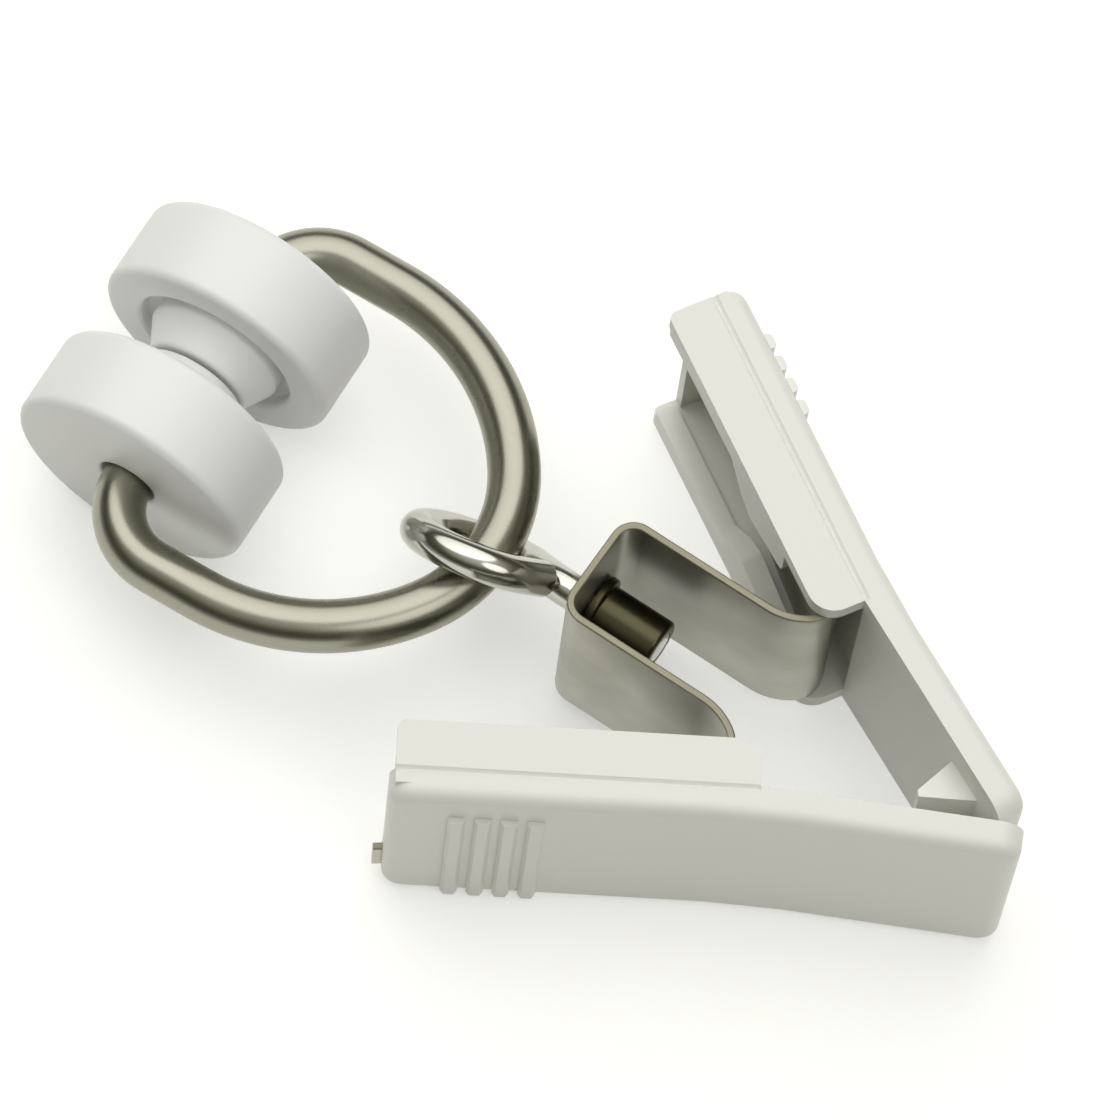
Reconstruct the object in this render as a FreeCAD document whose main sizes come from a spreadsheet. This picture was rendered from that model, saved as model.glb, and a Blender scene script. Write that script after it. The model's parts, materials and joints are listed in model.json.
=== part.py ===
"""Curtain glider: a two-wheel track roller on a wire ring, a swivel eye and a sprung jaw clip."""

import math
import os

import FreeCAD
import Part
import Sketcher

Vector = FreeCAD.Vector
Rotation = FreeCAD.Rotation
Placement = FreeCAD.Placement

# Driving sizes in millimetres and degrees
SIZES = {
    "wheel_diameter": 16.0,
    "wheel_width": 5.9,
    "wheel_bore": 3.8,
    "wheel_edge": 0.5,
    "wheel_spacing": 4.4,
    "hub_gap": 0.3,
    "hub_top": 6.8,
    "groove_inner": 9.0,
    "groove_outer": 10.8,
    "groove_depth": 1.0,
    "ring_wire": 3.35,
    "ring_half_width": 12.05,
    "ring_corner": 4.3,
    "ring_side": 7.5,
    "ring_reach": 21.45,
    "bow_swing": 56.0,
    "ring_seam": 0.2,
    "ring_turn": 3.2,
    "ring_aside": 0.5,
    "eye_wire": 2.3,
    "eye_radius": 4.1,
    "eye_spread": 56.0,
    "eye_neck": 2.55,
    "eye_bend": 2.2,
    "eye_tilt": 59.0,
    "eye_lean": 12.0,
    "eye_gap": 0.12,
    "link_play": 1.715,
    "sleeve_diameter": 3.6,
    "sleeve_length": 4.9,
    "flange_diameter": 4.4,
    "flange_thickness": 0.6,
    "plate_play": 0.12,
    "hole_play": 0.3,
    "strip_thickness": 0.5,
    "strip_side_play": 0.15,
    "leg_spacing": 7.2,
    "leg_length": 10.2,
    "plate_corner": 1.3,
    "flare_radius": 4.2,
    "flare_angle": 35.0,
    "tail_slope": 4.2,
    "tail_lift": 0.12,
    "tail_play": 0.25,
    "tongue_width": 2.6,
    "tongue_proud": 0.6,
    "tongue_play": 0.2,
    "clip_width": 16.0,
    "grip_angle": 31.5,
    "grip_length": 22.3,
    "jaw_length": 15.9,
    "jaw_bend": 5.4,
    "knee_soft": 2.5,
    "knee_seat": 6.6,
    "jaw_slip": 0.7,
    "tip_gap": 0.15,
    "bar_thickness": 2.05,
    "floor_thickness": 1.0,
    "outer_edge": 0.9,
    "tip_corner": 1.5,
    "cheek_thickness": 1.2,
    "cheek_height": 5.05,
    "cheek_back": 0.35,
    "cheek_round": 1.7,
    "cheek_nose": 0.55,
    "end_wall": 1.0,
    "end_wall_height": 3.35,
    "lip_thickness": 1.35,
    "lip_overhang": 0.7,
    "lip_start": 0.95,
    "lobe_start": 9.9,
    "lobe_peak": 13.1,
    "lobe_end": 17.4,
    "lobe_overhang": 3.35,
    "lobe_taper": 1.15,
    "lobe_round": 0.7,
    "crease_height": 1.9,
    "crease_depth": 0.2,
    "crease_width": 0.45,
    "rib_count": 4,
    "rib_start": 3.7,
    "rib_pitch": 1.6,
    "rib_width": 1.05,
    "rib_height": 0.42,
    "rib_inset": 0.6,
    "rib_short": 2.9,
    "tooth_front": 2.4,
    "tooth_base": 2.95,
    "tooth_rise": 0.75,
    "tooth_height": 2.95,
    "tooth_width": 5.2,
    "tooth_split": 0.4,
}

doc = FreeCAD.newDocument("CurtainGlider")
sheet = doc.addObject("Spreadsheet::Sheet", "sizes")
for row, (alias, number) in enumerate(SIZES.items(), start=1):
    sheet.set("A%d" % row, alias.replace("_", " "))
    sheet.set("B%d" % row, str(number))
    sheet.setAlias("B%d" % row, alias)
doc.recompute()


def size(name):
    """Value of one driving size."""
    return float(sheet.get(name))


def angle(name):
    """Value of one driving angle in radians."""
    return math.radians(size(name))


def bind(target, prop, expression):
    """Ties a property to the sheet."""
    target.setExpression(prop, expression)


def aliased(expression):
    """Puts the sheet's name in front of every alias written with a leading dollar."""
    return expression.replace("$", "sizes.")


def number(expression):
    """Value of an expression on the sheet."""
    found = sheet.evalExpression(expression)
    return float(getattr(found, "Value", found))


def outline_sketch(body, name, outlines, placement=None):
    """Sketch of closed outlines whose corners are tied to expressions of the sheet.

    Each outline is a list of (x, y) expression pairs, written with $alias for a size.
    """
    sketch = body.newObject("Sketcher::SketchObject", name)
    if placement is not None:
        sketch.Placement = placement
    for outline in outlines:
        pairs = [(aliased(x), aliased(y)) for x, y in outline]
        corners = [Vector(number(x), number(y), 0) for x, y in pairs]
        first = sketch.GeometryCount
        count = len(corners)
        for i in range(count):
            sketch.addGeometry(Part.LineSegment(corners[i], corners[(i + 1) % count]), False)
        for i in range(count):
            sketch.addConstraint(
                Sketcher.Constraint("Coincident", first + i, 2, first + (i + 1) % count, 1)
            )
        for i, (x, y) in enumerate(pairs):
            at_x = sketch.addConstraint(
                Sketcher.Constraint("DistanceX", -1, 1, first + i, 1, corners[i].x)
            )
            bind(sketch, "Constraints[%d]" % at_x, x)
            at_y = sketch.addConstraint(
                Sketcher.Constraint("DistanceY", -1, 1, first + i, 1, corners[i].y)
            )
            bind(sketch, "Constraints[%d]" % at_y, y)
    doc.recompute()
    return sketch


def feature(body, kind, name, sketch, length, middle=True):
    """Pad or pocket of a sketch, its length tied to the sheet."""
    made = body.newObject("PartDesign::" + kind, name)
    made.Profile = sketch
    made.Midplane = middle
    bind(made, "Length", aliased(length))
    doc.recompute()
    return made


def fillet(body, name, base, radius, chosen):
    """Fillet of the edges of a feature that a test picks out."""
    names = ["Edge%d" % (i + 1) for i, edge in enumerate(base.Shape.Edges) if chosen(edge)]
    made = body.newObject("PartDesign::Fillet", name)
    made.Base = (base, names)
    bind(made, "Radius", aliased(radius))
    doc.recompute()
    return made


def middle_of(edge):
    """Point half way along an edge."""
    return edge.valueAt((edge.FirstParameter + edge.LastParameter) / 2.0)


def span(edge):
    """Size of an edge's box along the three axes."""
    box = edge.BoundBox
    return Vector(box.XLength, box.YLength, box.ZLength)


class Trace:
    """Planar path of lines and arcs, each tangent to the one before."""

    def __init__(self, x, y, heading):
        self.x = x
        self.y = y
        self.heading = heading
        self.steps = []

    def line(self, length):
        """Goes straight on."""
        start = (self.x, self.y)
        self.x += length * math.cos(self.heading)
        self.y += length * math.sin(self.heading)
        self.steps.append(("line", start, (self.x, self.y), self.heading))

    def arc(self, radius, turn):
        """Turns on an arc, to the left for a positive turn."""
        side = 1.0 if turn > 0 else -1.0
        cx = self.x - side * radius * math.sin(self.heading)
        cy = self.y + side * radius * math.cos(self.heading)
        self.steps.append(("arc", (cx, cy), radius, self.heading, turn))
        self.heading += turn
        self.x = cx + side * radius * math.sin(self.heading)
        self.y = cy - side * radius * math.cos(self.heading)

    def edges(self, aside=0.0):
        """Edges of the path moved to its left by a distance."""
        made = []
        for step in self.steps:
            if step[0] == "line":
                push = Vector(-math.sin(step[3]), math.cos(step[3]), 0) * aside
                start = Vector(step[1][0], step[1][1], 0) + push
                end = Vector(step[2][0], step[2][1], 0) + push
                made.append(Part.makeLine(start, end))
            else:
                (cx, cy), radius, heading, turn = step[1:]
                side = 1.0 if turn > 0 else -1.0
                reach = radius - side * aside
                points = []
                for part in (0.0, 0.5, 1.0):
                    at = heading + turn * part
                    points.append(
                        Vector(cx + side * reach * math.sin(at), cy - side * reach * math.cos(at), 0)
                    )
                made.append(Part.Arc(*points).toShape())
        return made


def wire_sweep(name, path, diameter):
    """Round wire swept along a path, its diameter tied to the sheet."""
    spine = doc.addObject("Part::Feature", name + "_path")
    spine.Shape = path
    section = doc.addObject("Part::Circle", name + "_section")
    bind(section, "Radius", aliased(diameter) + " / 2")
    first = path.OrderedEdges[0]
    section.Placement = Placement(
        first.valueAt(first.FirstParameter),
        Rotation(Vector(0, 0, 1), first.tangentAt(first.FirstParameter)),
    )
    made = doc.addObject("Part::Sweep", name)
    made.Sections = [section]
    made.Spine = (spine, ["Edge%d" % (i + 1) for i in range(len(path.Edges))])
    made.Solid = True
    made.Frenet = False
    doc.recompute()
    return made


# Heights and places that follow from the sizes
mid_height = size("wheel_diameter") / 2.0
clip_base = mid_height - size("clip_width") / 2.0
leg_half = size("leg_spacing") / 2.0
jaw_half_angle = angle("grip_angle") - angle("jaw_bend")
tip_side = (size("jaw_slip") - size("tip_gap") / (2.0 * math.sin(jaw_half_angle))) * math.tan(jaw_half_angle)
knee_x = size("leg_length") + size("knee_seat")
knee_y = (
    size("jaw_length") * math.sin(jaw_half_angle)
    + size("bar_thickness") * math.cos(jaw_half_angle)
    - tip_side
)


# Wheels turned about the axle, with a groove round a coned hub that keeps them apart
def build_wheel(name, side):
    """One track wheel, on the positive or negative side of the axle's middle."""
    body = doc.addObject("PartDesign::Body", name)
    inner = "$wheel_spacing / 2"
    outer = "($wheel_spacing / 2 + $wheel_width)"
    bore = "$wheel_bore / 2"
    floor = "($wheel_spacing / 2 + $groove_depth)"
    profile = [
        (bore, "$hub_gap / 2"),
        ("$hub_top / 2", "$hub_gap / 2"),
        ("$groove_inner / 2", inner),
        ("$groove_inner / 2", floor),
        ("$groove_outer / 2", floor),
        ("$groove_outer / 2", inner),
        ("$wheel_diameter / 2 - $wheel_edge", inner),
        ("$wheel_diameter / 2", "%s + $wheel_edge" % inner),
        ("$wheel_diameter / 2", "%s - $wheel_edge" % outer),
        ("$wheel_diameter / 2 - $wheel_edge", outer),
        (bore, outer),
    ]
    sketch = outline_sketch(body, name + "_profile", [profile])
    turned = body.newObject("PartDesign::Revolution", name + "_turned")
    turned.Profile = sketch
    turned.ReferenceAxis = (sketch, ["V_Axis"])
    turned.Angle = 360.0
    doc.recompute()
    turn = Rotation(Vector(0, 0, 1), size("ring_turn"))
    if side < 0:
        turn = turn.multiply(Rotation(Vector(1, 0, 0), 180))
    body.Placement = Placement(axle_centre, turn)
    doc.recompute()
    return body


# Swivel eye bent from one wire: shank, neck bend, round loop and a butted free end
def build_eye():
    """Eye wire with its shank along the pull axis."""
    radius = size("eye_radius")
    spread = angle("eye_spread")
    lean = angle("eye_lean")
    tilt = angle("eye_tilt")
    ahead = Vector(-math.cos(lean), -math.sin(lean), 0)
    level = Vector(math.sin(lean), -math.cos(lean), 0)
    across = level * math.cos(tilt) + Vector(0, 0, math.sin(tilt))
    corner = Vector(-size("eye_neck"), 0, mid_height)
    centre = corner + ahead * (radius / math.sin(spread))

    def at(along, aside):
        return centre + ahead * along + across * aside

    back = -radius * math.sin(spread)
    out = radius * math.cos(spread)
    reach = radius / math.tan(spread)
    leave = ahead * math.cos(spread) - across * math.sin(spread)
    shank = Vector(1, 0, 0)
    opening = shank.getAngle(leave)
    bend = size("eye_bend")
    run = bend / math.tan(opening / 2.0)
    half = (shank + leave).normalize()
    hub = corner + half * (bend / math.sin(opening / 2.0))
    home = (at(back, out) - corner).normalize()
    keep = bend + size("eye_wire") / 2.0 + size("eye_gap")
    lag = corner - hub
    free = -home.dot(lag) + math.sqrt(home.dot(lag) ** 2 - lag.dot(lag) + keep * keep)
    shank_end = size("strip_thickness") / 2.0 + size("plate_play") + size("sleeve_length")
    points = [
        Vector(shank_end, 0, mid_height),
        corner + shank * run,
        hub - half * bend,
        corner + leave * run,
        at(back, -out),
        at(radius, 0),
        at(back, out),
        corner + home * min(free, 0.9 * reach),
    ]
    edges = [
        Part.makeLine(points[0], points[1]),
        Part.Arc(points[1], points[2], points[3]).toShape(),
        Part.makeLine(points[3], points[4]),
        Part.Arc(points[4], points[5], points[6]).toShape(),
        Part.makeLine(points[6], points[7]),
    ]
    return wire_sweep("swivel_eye", Part.Wire(edges), "$eye_wire"), centre


# Sleeve pressed on the shank, with a flange that keeps the eye in the plate
def build_sleeve():
    """Turned sleeve about the pull axis."""
    body = doc.addObject("PartDesign::Body", "swivel_sleeve")
    start = "($strip_thickness / 2 + $plate_play)"
    end = "(%s + $sleeve_length)" % start
    bore = "$eye_wire / 2"
    edge = "($sleeve_diameter - $eye_wire) / 4"
    profile = [
        (start, bore),
        (start, "$flange_diameter / 2"),
        ("(%s + $flange_thickness)" % start, "$flange_diameter / 2"),
        ("(%s + $flange_thickness)" % start, "$sleeve_diameter / 2"),
        ("%s - %s" % (end, edge), "$sleeve_diameter / 2"),
        (end, "$sleeve_diameter / 2 - %s" % edge),
        (end, bore),
    ]
    sketch = outline_sketch(body, "sleeve_profile", [profile])
    turned = body.newObject("PartDesign::Revolution", "sleeve_turned")
    turned.Profile = sketch
    turned.ReferenceAxis = (sketch, ["H_Axis"])
    turned.Angle = 360.0
    body.Placement = Placement(Vector(0, 0, mid_height), Rotation())
    doc.recompute()
    return body


# Ring bent to a D from one wire, its ends butted between the wheels
def build_ring():
    """Axle ring in its own frame, then set through the eye."""
    half = size("ring_half_width")
    corner = size("ring_corner")
    side = size("ring_side")
    reach = size("ring_reach")
    swing = angle("bow_swing")
    easing = (reach - side - half) / (math.sin(swing) + math.cos(swing) - 1.0)
    shoulder = half + easing * math.cos(swing)
    tip_radius = shoulder - easing
    path = Trace(0.0, size("ring_seam") / 2.0, math.pi / 2.0)
    path.line(half - corner - size("ring_seam") / 2.0)
    path.arc(corner, -math.pi / 2.0)
    path.line(side - corner)
    path.arc(shoulder, -swing)
    path.arc(tip_radius, 2.0 * swing - math.pi)
    path.arc(shoulder, -swing)
    path.line(side - corner)
    path.arc(corner, -math.pi / 2.0)
    path.line(half - corner - size("ring_seam") / 2.0)
    wire = Part.Wire(path.edges())
    wire.Placement = Placement(axle_centre, Rotation(Vector(0, 0, 1), size("ring_turn")))
    return wire_sweep("axle_ring", wire, "$ring_wire")


# Jaw arm, moulded in one: bar, cheeks, channel, lips, ribs, tooth and creases
def build_arm(name):
    """One jaw arm with its knee at the origin, the grip along -X and the channel open to +Y."""
    body = doc.addObject("PartDesign::Body", name)
    half = "$clip_width / 2"
    tip_x = "$jaw_length * cos($jaw_bend * 1 deg)"
    tip_y = "-$jaw_length * sin($jaw_bend * 1 deg)"
    in_x = "$bar_thickness * sin($jaw_bend * 1 deg)"
    in_y = "$bar_thickness * cos($jaw_bend * 1 deg)"
    bar = [
        ("-$grip_length", "0"),
        ("-$knee_soft", "0"),
        ("$knee_soft * cos($jaw_bend * 1 deg)", "-$knee_soft * sin($jaw_bend * 1 deg)"),
        (tip_x, tip_y),
        ("%s + %s" % (tip_x, in_x), "%s + %s" % (tip_y, in_y)),
        ("$bar_thickness * tan($jaw_bend * 0.5 deg)", "$bar_thickness"),
        ("-$grip_length", "$bar_thickness"),
    ]
    sketch = outline_sketch(body, name + "_bar_outline", [bar])
    made = feature(body, "Pad", name + "_bar", sketch, "$clip_width")
    edge_z = size("clip_width") / 2.0
    thick = size("bar_thickness")
    made = fillet(
        body,
        name + "_corners",
        made,
        "$tip_corner",
        lambda e: span(e).z < 1e-6 and abs(e.Length - thick) < 1e-6,
    )
    grip_end = -size("grip_length")
    bend = angle("jaw_bend")

    def on_outer_face(point):
        if point.x <= 0:
            return point.y < 0.25 * thick
        return point.y + point.x * math.tan(bend) < 0.25 * thick

    made = fillet(
        body,
        name + "_outer_edges",
        made,
        "$outer_edge",
        lambda e: on_outer_face(middle_of(e))
        and not (isinstance(e.Curve, Part.Line) and span(e).z < 1e-6 and e.Length < 1.5 * thick)
        and (abs(abs(middle_of(e).z) - edge_z) < 0.6 * size("tip_corner") or middle_of(e).x < grip_end + 1e-6
             or middle_of(e).x > 0.9 * size("jaw_length")),
    )

    cheek = [
        ("-$grip_length + $cheek_back", "$outer_edge + 0.1"),
        ("0", "$outer_edge + 0.1"),
        ("0", "$cheek_height"),
        ("-$grip_length + $cheek_back", "$cheek_height"),
    ]
    sketch = outline_sketch(body, name + "_cheek_outline", [cheek])
    made = feature(body, "Pad", name + "_cheeks", sketch, "$clip_width")
    top = size("cheek_height")
    made = fillet(
        body,
        name + "_cheek_round",
        made,
        "$cheek_round",
        lambda e: span(e).z > 1.0 and abs(middle_of(e).y - top) < 1e-6 and abs(middle_of(e).x) < 1e-6,
    )
    made = fillet(
        body,
        name + "_cheek_nose",
        made,
        "$cheek_nose",
        lambda e: span(e).z > 1.0 and abs(middle_of(e).y - top) < 1e-6 and middle_of(e).x < 0.9 * grip_end,
    )

    channel = [
        ("-$grip_length + $end_wall", "$floor_thickness"),
        ("0", "$floor_thickness"),
        ("0", "$bar_thickness"),
        ("1", "$bar_thickness"),
        ("1", "$cheek_height + 1"),
        ("-$grip_length - 1", "$cheek_height + 1"),
        ("-$grip_length - 1", "$end_wall_height"),
        ("-$grip_length + $end_wall", "$end_wall_height"),
    ]
    sketch = outline_sketch(body, name + "_channel_outline", [channel])
    made = feature(body, "Pocket", name + "_channel", sketch, "$clip_width - 2 * $cheek_thickness")

    outlines = []
    for sign in ("", "-"):
        wall = sign + "($clip_width / 2 - $cheek_thickness / 2)"
        lip = sign + "($clip_width / 2 - $cheek_thickness - $lip_overhang)"
        lobe = sign + "($clip_width / 2 - $cheek_thickness - $lobe_overhang)"
        rising = sign + "($clip_width / 2 - $cheek_thickness - 0.28 * $lip_overhang - 0.72 * $lobe_overhang)"
        taper = sign + "($clip_width / 2 - $cheek_thickness - $lobe_overhang + $lobe_taper)"
        outlines.append(
            [
                ("-$grip_length + $lip_start", wall),
                ("-$grip_length + $lobe_end", wall),
                ("-$grip_length + $lobe_end", taper),
                ("-$grip_length + $lobe_peak", lobe),
                ("-$grip_length + 0.45 * $lobe_start + 0.55 * $lobe_peak", rising),
                ("-$grip_length + $lobe_start", lip),
                ("-$grip_length + $lip_start", lip),
            ]
        )
    face_down = Placement(Vector(0, top, 0), Rotation(Vector(1, 0, 0), 90))
    sketch = outline_sketch(body, name + "_lip_outline", outlines, face_down)
    made = feature(body, "Pad", name + "_lips", sketch, "$lip_thickness", middle=False)
    inner_z = edge_z - size("cheek_thickness") - 1.01 * size("lip_overhang")
    lip_low = top - size("lip_thickness")
    made = fillet(
        body,
        name + "_lobe_round",
        made,
        "$lobe_round",
        lambda e: isinstance(e.Curve, Part.Line)
        and span(e).y > 0.9 * size("lip_thickness")
        and span(e).x < 1e-6
        and span(e).z < 1e-6
        and abs(middle_of(e).z) < inner_z
        and middle_of(e).y > lip_low,
    )

    slot_low = "-%s + $cheek_thickness + $strip_side_play" % half
    slot = [
        ("-$grip_length - 1", "$floor_thickness"),
        ("-$grip_length + $end_wall + 0.5", "$floor_thickness"),
        ("-$grip_length + $end_wall + 0.5", "$floor_thickness + 2 * $strip_thickness"),
        ("-$grip_length - 1", "$floor_thickness + 2 * $strip_thickness"),
    ]
    sketch = outline_sketch(body, name + "_slot_outline", [slot])
    slot_middle = number(aliased("%s + $tongue_width / 2" % slot_low))
    sketch.Placement = Placement(Vector(0, 0, slot_middle), Rotation())
    made = feature(body, "Pocket", name + "_slot", sketch, "$tongue_width + 2 * $tongue_play")

    creases = []
    for sign in ("", "-"):
        creases.append(
            [
                ("$crease_height - $crease_width / 2", sign + "(%s + 0.001)" % half),
                ("$crease_height + $crease_width / 2", sign + "(%s + 0.001)" % half),
                ("$crease_height", sign + "(%s - $crease_depth)" % half),
            ]
        )
    across = Placement(Vector(grip_end / 2.0, 0, 0), Rotation(Vector(1, 1, 1), 120))
    sketch = outline_sketch(body, name + "_crease_outline", creases, across)
    made = feature(body, "Pocket", name + "_creases", sketch, "$grip_length")

    def on_jaw(along, up):
        x = "(%s) * cos($jaw_bend * 1 deg) + (%s) * sin($jaw_bend * 1 deg)" % (along, up)
        y = "(%s) * cos($jaw_bend * 1 deg) - (%s) * sin($jaw_bend * 1 deg)" % (up, along)
        return x, y

    front = "$jaw_length - $tooth_front"
    rear = "%s - $tooth_base" % front
    tooth = [
        on_jaw(rear, "0.6 * $bar_thickness"),
        on_jaw(front, "0.6 * $bar_thickness"),
        on_jaw(front, "$bar_thickness"),
        on_jaw("%s + $tooth_rise + 0.25" % rear, "$bar_thickness + $tooth_height"),
        on_jaw("%s + $tooth_rise - 0.15" % rear, "$bar_thickness + $tooth_height - 0.15"),
        on_jaw(rear, "$bar_thickness"),
    ]
    sketch = outline_sketch(body, name + "_tooth_outline", [tooth])
    tooth_middle = -(size("tooth_split") + size("tooth_width")) / 2.0
    sketch.Placement = Placement(Vector(0, 0, tooth_middle), Rotation())
    feature(body, "Pad", name + "_tooth", sketch, "$tooth_width")

    rib = [
        ("-$grip_length + $rib_start", "0.5 * $floor_thickness"),
        ("-$grip_length + $rib_start", "-0.4 * $rib_height"),
        ("-$grip_length + $rib_start + 0.2 * $rib_width", "-$rib_height"),
        ("-$grip_length + $rib_start + 0.8 * $rib_width", "-$rib_height"),
        ("-$grip_length + $rib_start + $rib_width", "-0.4 * $rib_height"),
        ("-$grip_length + $rib_start + $rib_width", "0.5 * $floor_thickness"),
    ]
    sketch = outline_sketch(body, name + "_rib_outline", [rib])
    sketch.Placement = Placement(Vector(0, 0, (size("rib_inset") - size("rib_short")) / 2.0), Rotation())
    rib_pad = feature(body, "Pad", name + "_rib", sketch, "$clip_width - $rib_inset - $rib_short")
    pattern = body.newObject("PartDesign::LinearPattern", name + "_ribs")
    pattern.Originals = [rib_pad]
    pattern.Direction = (sketch, ["H_Axis"])
    bind(pattern, "Length", aliased("$rib_pitch * ($rib_count - 1)"))
    bind(pattern, "Occurrences", aliased("$rib_count"))
    body.Tip = pattern
    doc.recompute()
    return body


# Leaf spring folded from one strip, its tails lying in the two arms' channels
def half_strip(knee, side):
    """Path of half the strip and the place and heading of its tail's end."""
    sign = 1.0 if side > 0 else -1.0
    grip = angle("grip_angle")
    toward = Vector(-math.cos(grip), sign * math.sin(grip), 0)
    inward = Vector(-math.sin(grip), -sign * math.cos(grip), 0)
    wall = size("grip_length") - size("end_wall") - size("tail_play")
    height = size("floor_thickness") + size("tail_lift") + size("strip_thickness") / 2.0
    end = Vector(knee.x, knee.y, 0) + toward * wall + inward * height
    tail = math.pi - grip - angle("tail_slope")
    path = Trace(0.0, 0.0, sign * math.pi / 2.0)
    corner = size("plate_corner")
    path.line(leg_half - corner)
    path.arc(corner, -sign * math.pi / 2.0)
    path.line(size("leg_length") - corner)
    flare = angle("flare_angle")
    path.arc(size("flare_radius"), sign * flare)
    normal = Vector(-math.sin(tail), math.cos(tail), 0)
    here = Vector(path.x, sign * path.y, 0)
    target = Vector(end.x, sign * end.y, 0)
    swing = Vector(math.sin(tail) - math.sin(flare), math.cos(flare) - math.cos(tail), 0)
    radius = -normal.dot(here - target) / normal.dot(swing)
    path.arc(radius, sign * (tail - flare))
    run = (end - Vector(path.x, path.y, 0)).Length
    path.line(run)
    print("hairpin radius", round(radius, 3), "tail", round(run, 2))
    return path, end, path.heading


def thick_face(paths):
    """Face of the strip's section, from the two half paths that start at the plate's middle."""
    aside = size("strip_thickness") / 2.0
    edges = []
    for path in paths:
        left = path.edges(aside)
        right = path.edges(-aside)
        edges += left + right
        edges.append(Part.makeLine(left[-1].Vertexes[-1].Point, right[-1].Vertexes[-1].Point))
    return Part.Face(Part.Wire(Part.__sortEdges__(edges)))


def extruded(name, face, length, base):
    """Prism of a face along +Z, its length tied to the sheet."""
    flat = doc.addObject("Part::Feature", name + "_face")
    flat.Shape = face
    made = doc.addObject("Part::Extrusion", name)
    made.Base = flat
    made.DirMode = "Custom"
    made.Dir = Vector(0, 0, 1)
    made.Solid = True
    bind(made, "LengthFwd", aliased(length))
    made.Placement = Placement(Vector(0, 0, base), Rotation())
    doc.recompute()
    return made


def build_spring():
    """Leaf spring with its shank hole and a tongue in each arm's end wall, the lower one proud of it."""
    width = "($clip_width - 2 * $cheek_thickness - 2 * $strip_side_play)"
    wide = number(aliased(width))
    upper, upper_end, upper_heading = half_strip(upper_knee, 1)
    lower, lower_end, lower_heading = half_strip(lower_knee, -1)
    strip = extruded("spring_strip", thick_face([upper, lower]), width, mid_height - wide / 2.0)
    pieces = [strip]
    ends = ((upper_end, upper_heading, 1, "upper"), (lower_end, lower_heading, -1, "lower"))
    for end, heading, sign, word in ends:
        path = Trace(end.x - 0.5 * math.cos(heading), end.y - 0.5 * math.sin(heading), heading)
        proud = size("tongue_proud") if sign < 0 else 0.0
        path.line(0.5 + size("tail_play") + size("end_wall") + proud)
        aside = size("strip_thickness") / 2.0
        left = path.edges(aside)[0]
        right = path.edges(-aside)[0]
        edges = [left, right]
        for i in (0, 1):
            edges.append(Part.makeLine(left.Vertexes[i].Point, right.Vertexes[i].Point))
        base = mid_height - wide / 2.0
        if sign > 0:
            base = mid_height + wide / 2.0 - size("tongue_width")
        face = Part.Face(Part.Wire(Part.__sortEdges__(edges)))
        pieces.append(extruded(word + "_tongue", face, "$tongue_width", base))
    whole = doc.addObject("Part::MultiFuse", "spring_whole")
    whole.Shapes = pieces
    whole.Refine = True
    hole = doc.addObject("Part::Cylinder", "shank_hole")
    bind(hole, "Radius", aliased("$eye_wire / 2 + $hole_play / 2"))
    bind(hole, "Height", aliased("4 * $strip_thickness"))
    hole.Placement = Placement(
        Vector(-2.0 * size("strip_thickness"), 0, mid_height), Rotation(Vector(0, 1, 0), 90)
    )
    cut = doc.addObject("Part::Cut", "clip_spring")
    cut.Base = whole
    cut.Tool = hole
    doc.recompute()
    return cut


lower_knee = Vector(knee_x + size("jaw_slip"), -knee_y, 0)
upper_knee = Vector(knee_x - size("jaw_slip"), knee_y, 0)

eye, loop_centre = build_eye()
loop_end = loop_centre.x - math.cos(angle("eye_lean")) * (size("eye_radius") - size("eye_wire") / 2.0)
tip_x = loop_end + size("link_play") + size("ring_wire") / 2.0
tip = Vector(tip_x, -size("ring_aside"), mid_height)
ring_yaw = Rotation(Vector(0, 0, 1), size("ring_turn"))
axle_centre = tip - ring_yaw.multVec(Vector(size("ring_reach"), 0, 0))

ring = build_ring()
sleeve = build_sleeve()
left_wheel = build_wheel("left_wheel", -1)
right_wheel = build_wheel("right_wheel", 1)

lower_jaw = build_arm("lower_jaw")
lower_jaw.Placement = Placement(
    Vector(lower_knee.x, lower_knee.y, mid_height), Rotation(Vector(0, 0, 1), size("grip_angle"))
)
upper_jaw = build_arm("upper_jaw")
flip = Rotation(Vector(1, 0, 0), 180).multiply(Rotation(Vector(0, 0, 1), size("grip_angle")))
upper_jaw.Placement = Placement(Vector(upper_knee.x, upper_knee.y, mid_height), flip)
spring = build_spring()
doc.recompute()

NODES = {
    "left_wheel": left_wheel,
    "right_wheel": right_wheel,
    "axle_ring": ring,
    "swivel_eye": eye,
    "swivel_sleeve": sleeve,
    "clip_spring": spring,
    "lower_jaw": lower_jaw,
    "upper_jaw": upper_jaw,
}

for item in doc.Objects:
    if "Invalid" in item.State or "Error" in item.State:
        raise RuntimeError("%s did not rebuild: %s" % (item.Name, item.State))

low = Vector(1e9, 1e9, 1e9)
high = Vector(-1e9, -1e9, -1e9)
shapes = {}
for node, item in NODES.items():
    shape = item.Shape.copy()
    if shape.isNull() or not shape.isValid() or len(shape.Solids) != 1:
        raise RuntimeError("%s is not one valid solid" % node)
    shapes[node] = shape
    box = shape.optimalBoundingBox(False, False)
    low = Vector(min(low.x, box.XMin), min(low.y, box.YMin), min(low.z, box.ZMin))
    high = Vector(max(high.x, box.XMax), max(high.y, box.YMax), max(high.z, box.ZMax))

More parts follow.
